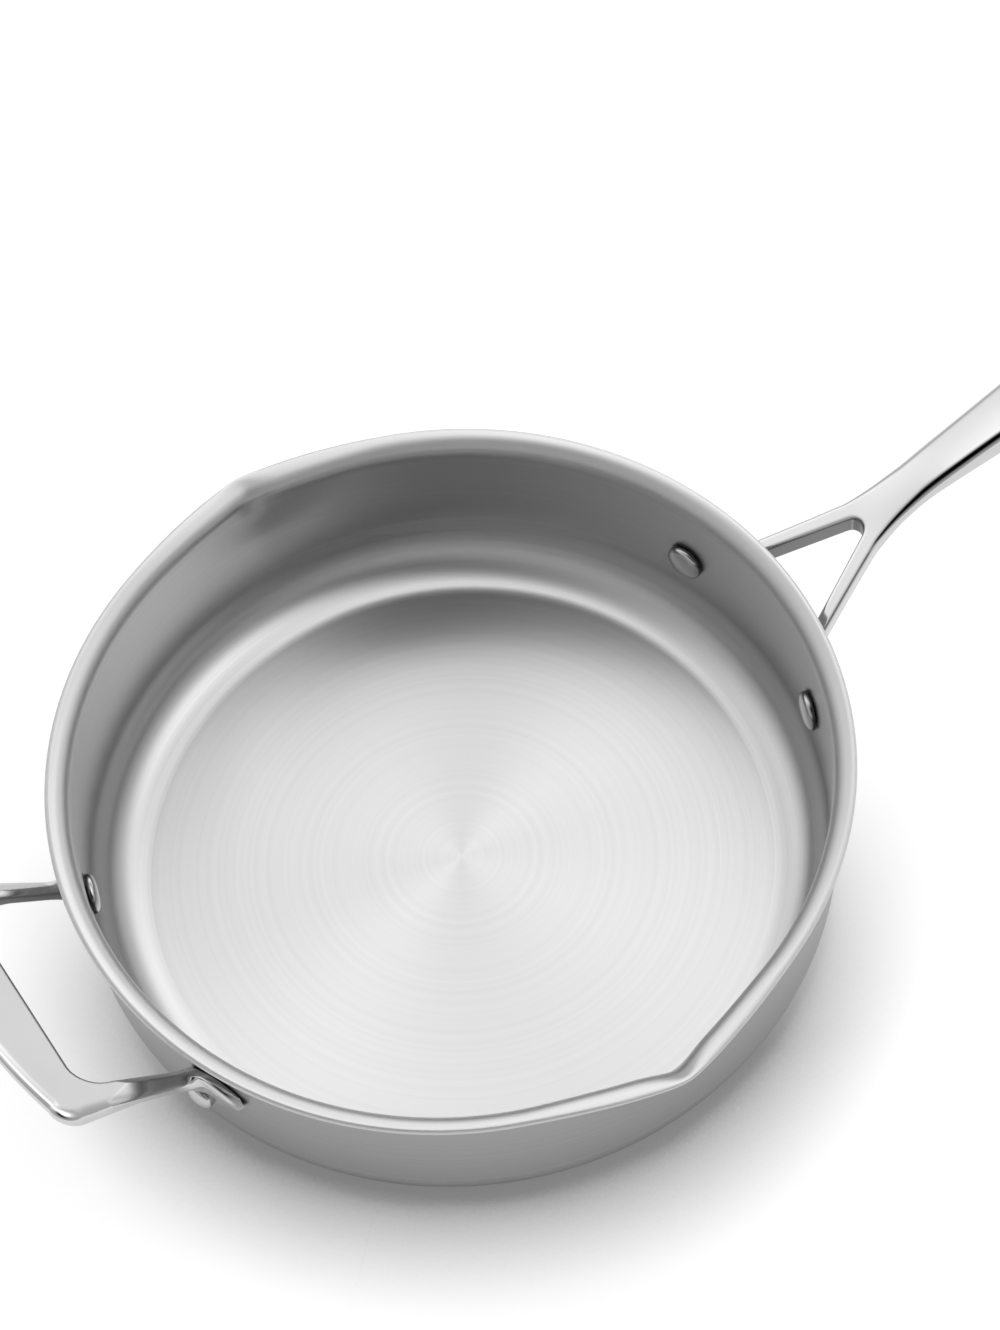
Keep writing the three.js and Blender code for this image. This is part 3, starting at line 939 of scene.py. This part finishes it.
def add_floor():
    """A pale floor that darkens close to the pan and looks white further out."""
    mesh = bpy.data.meshes.new("floor")
    signs = [(-1, -1), (1, -1), (1, 1), (-1, 1)]
    corners = [(x * FLOOR_HALF, y * FLOOR_HALF, FLOOR_LEVEL) for x, y in signs]
    mesh.from_pydata(corners, [], [(0, 1, 2, 3)])
    mesh.materials.append(floor_material())
    floor = bpy.data.objects.new("floor", mesh)
    bpy.context.scene.collection.objects.link(floor)


def light_direction(elevation, azimuth):
    """A direction given in degrees."""
    rise, turn = math.radians(elevation), math.radians(azimuth)
    return math.cos(rise) * math.cos(turn), math.cos(rise) * math.sin(turn), math.sin(rise)


def with_light(nodes, links, level, name, elevation, azimuth, tightness, strength):
    """A level of light with one more soft light, which swells and fades with direction."""
    place = node(nodes, "ShaderNodeTexCoord")
    facing = node(nodes, "ShaderNodeVectorMath", operation="DOT_PRODUCT", name=name)
    links.new(place.outputs["Generated"], facing.inputs[0])
    facing.inputs[1].default_value = light_direction(elevation, azimuth)
    fading = node(nodes, "ShaderNodeMath", operation="MULTIPLY_ADD")
    links.new(facing.outputs["Value"], fading.inputs[0])
    fading.inputs[1].default_value = tightness
    fading.inputs[2].default_value = -tightness
    swell = node(nodes, "ShaderNodeMath", operation="EXPONENT")
    links.new(fading.outputs[0], swell.inputs[0])
    total = node(nodes, "ShaderNodeMath", operation="MULTIPLY_ADD")
    links.new(swell.outputs[0], total.inputs[0])
    total.inputs[1].default_value = strength
    links.new(level, total.inputs[2])
    return total.outputs[0]


def add_world():
    """The studio: a plain level all round and soft lights, nowhere below black."""
    world = bpy.data.worlds.new("studio")
    bpy.context.scene.world = world
    world.use_nodes = True
    nodes, links = world.node_tree.nodes, world.node_tree.links
    level = node(nodes, "ShaderNodeValue").outputs[0]
    level.default_value = STUDIO_LEVEL
    for name, light in STUDIO_LIGHTS.items():
        level = with_light(nodes, links, level, name, *light)
    lit = node(nodes, "ShaderNodeMath", operation="MAXIMUM")
    links.new(level, lit.inputs[0])
    lit.inputs[1].default_value = 0
    links.new(lit.outputs[0], nodes["Background"].inputs["Color"])


def camera_axes():
    """The camera's right, up and backward directions in the part's frame."""
    turn = Matrix.Rotation(CAMERA_TURN, 3, "Z")
    back = turn @ Vector((0, -math.cos(CAMERA_ELEVATION), math.sin(CAMERA_ELEVATION)))
    right = turn @ Vector((1, 0, 0))
    up = back.cross(right)
    cos, sin = math.cos(CAMERA_ROLL), math.sin(CAMERA_ROLL)
    return right * cos + up * sin, up * cos - right * sin, back


def add_camera():
    """The camera at the photograph's viewing angle."""
    data = bpy.data.cameras.new("camera")
    data.lens = CAMERA_LENS
    data.sensor_width = CAMERA_SENSOR
    camera = bpy.data.objects.new("camera", data)
    bpy.context.scene.collection.objects.link(camera)
    axes = Matrix(camera_axes()).transposed().to_4x4()
    camera.matrix_world = Matrix.Translation(CAMERA_PLACE) @ axes
    bpy.context.scene.camera = camera


def add_sheet():
    """The three layers of the clad body."""
    cooking = brushed_steel("brushed_cooking_steel", **COOKING_STEEL)
    outer = brushed_steel("brushed_outer_steel", **OUTER_STEEL)
    edge = brushed_steel("rolled_aluminium", **ROLLED_ALUMINIUM)
    add_piece("lining", layer(LINING), "inner_lining", cooking)
    add_piece("core", layer(CORE), "aluminium_core", edge)
    add_piece("shell", layer(SHELL), "outer_shell", outer)


def add_handles():
    """Both castings, darkened by painted shade and made duller on their pads and inner sides."""
    cast = [(pad_part, PAD_PAINTED_SHADE, CAST_DULLNESS), (inner_sides, INNER_PAINTED_SHADE, CAST_DULLNESS)]
    bright = polished_steel("polished_handle_steel", parts=cast, **HANDLE_STEEL)
    fork = handle(long_bar, long_top(), HANDLE_REACH, LONG_PADS)
    add_piece("fork_handle", fork, "long_handle", bright)
    loop = turned_half(handle(helper_bar, helper_top(), HELPER_BAR_OUTER, HELPER_PADS))
    add_piece("loop_handle", loop, "helper_handle", bright)


def add_rivets():
    """Two rivets for each handle, with painted shade round their heads."""
    rim = [(rim_part, RIM_PAINTED_SHADE, 0)]
    dome = polished_steel("polished_rivet_steel", parts=rim, **RIVET_STEEL)
    rivets = {
        "long_handle_rivet_left": LONG_BEARING,
        "long_handle_rivet_right": -LONG_BEARING,
        "helper_handle_rivet_left": math.pi - HELPER_BEARING,
        "helper_handle_rivet_right": math.pi + HELPER_BEARING,
    }
    for cad_node, bearing in rivets.items():
        add_piece(cad_node + "_dome", rivet(bearing), cad_node, dome)


bpy.context.scene.view_settings.view_transform = "Standard"
add_sheet()
add_handles()
add_rivets()
add_floor()
add_camera()
add_world()
